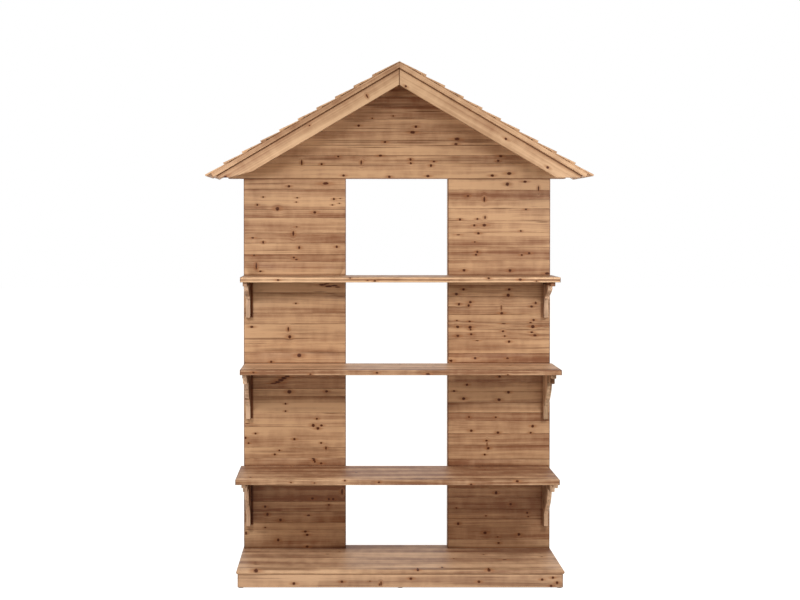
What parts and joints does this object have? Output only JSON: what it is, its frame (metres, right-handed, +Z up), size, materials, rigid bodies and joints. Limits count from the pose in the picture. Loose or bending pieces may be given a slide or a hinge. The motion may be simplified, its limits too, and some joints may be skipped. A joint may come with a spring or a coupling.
{
  "type": "house shaped bookcase",
  "caption": "Tall house-shaped wooden bookcase: plank walls with an open gap between, pitched slat roof, gable, shelves on shaped brackets, low plinth.",
  "frame": {"origin": "on the floor, under the middle of the bounding box", "axes": "+Z up, -Y to the front (the side that the shelves face), +X to the right as seen from the front"},
  "size_m": [1.4572, 0.351, 1.9513],
  "materials": {
    "wall_planks": "pale brown knotty softwood, matt",
    "gable_planks": "pale brown knotty softwood, matt",
    "shelf_boards": "edge-glued knotty softwood, matt",
    "base_boards": "edge-glued knotty softwood, matt",
    "bracket_boards": "sawn and sanded softwood, end grain on the curves",
    "fascia_boards": "pale planed softwood, matt",
    "roof_boards": "planed softwood, matt",
    "roof_slats": "thin sawn softwood, matt",
    "frame_timber": "planed softwood, matt",
    "fastener_steel": "zinc-plated",
    "glide_plastic": "brown-grey moulded"
  },
  "bodies": {
    "root": {"base_top": "base_boards", "base_front_rail": "base_boards", "base_back_rail": "base_boards", "base_left_rail": "base_boards", "base_right_rail": "base_boards", "base_bearers": "frame_timber", "base_corner_blocks": "frame_timber", "base_glides": "glide_plastic", "left_outer_post": "frame_timber", "left_inner_post": "frame_timber", "right_inner_post": "frame_timber", "right_outer_post": "frame_timber", "left_wall_planks": "wall_planks", "right_wall_planks": "wall_planks", "gable_planks": "gable_planks", "tie_beam": "frame_timber", "king_post": "frame_timber", "left_rafter": "frame_timber", "right_rafter": "frame_timber", "ridge_beam": "frame_timber", "left_purlin": "frame_timber", "right_purlin": "frame_timber", "left_fascia": "fascia_boards", "right_fascia": "fascia_boards", "left_roof_boards": "roof_boards", "right_roof_boards": "roof_boards", "left_slat_1": "roof_slats", "left_slat_2": "roof_slats", "left_slat_3": "roof_slats", "left_slat_4": "roof_slats", "left_slat_5": "roof_slats", "left_slat_6": "roof_slats", "left_slat_7": "roof_slats", "left_slat_8": "roof_slats", "left_slat_9": "roof_slats", "left_slat_10": "roof_slats", "right_slat_1": "roof_slats", "right_slat_2": "roof_slats", "right_slat_3": "roof_slats", "right_slat_4": "roof_slats", "right_slat_5": "roof_slats", "right_slat_6": "roof_slats", "right_slat_7": "roof_slats", "right_slat_8": "roof_slats", "right_slat_9": "roof_slats", "right_slat_10": "roof_slats", "upper_shelf": "shelf_boards", "middle_shelf": "shelf_boards", "lower_shelf": "shelf_boards", "upper_left_bracket": "bracket_boards", "upper_right_bracket": "bracket_boards", "middle_left_bracket": "bracket_boards", "middle_right_bracket": "bracket_boards", "lower_left_bracket": "bracket_boards", "lower_right_bracket": "bracket_boards", "frame_screws": "fastener_steel", "base_screws": "fastener_steel", "wall_nails": "fastener_steel", "roof_nails": "fastener_steel", "slat_nails": "fastener_steel"}
  },
  "joints": []
}
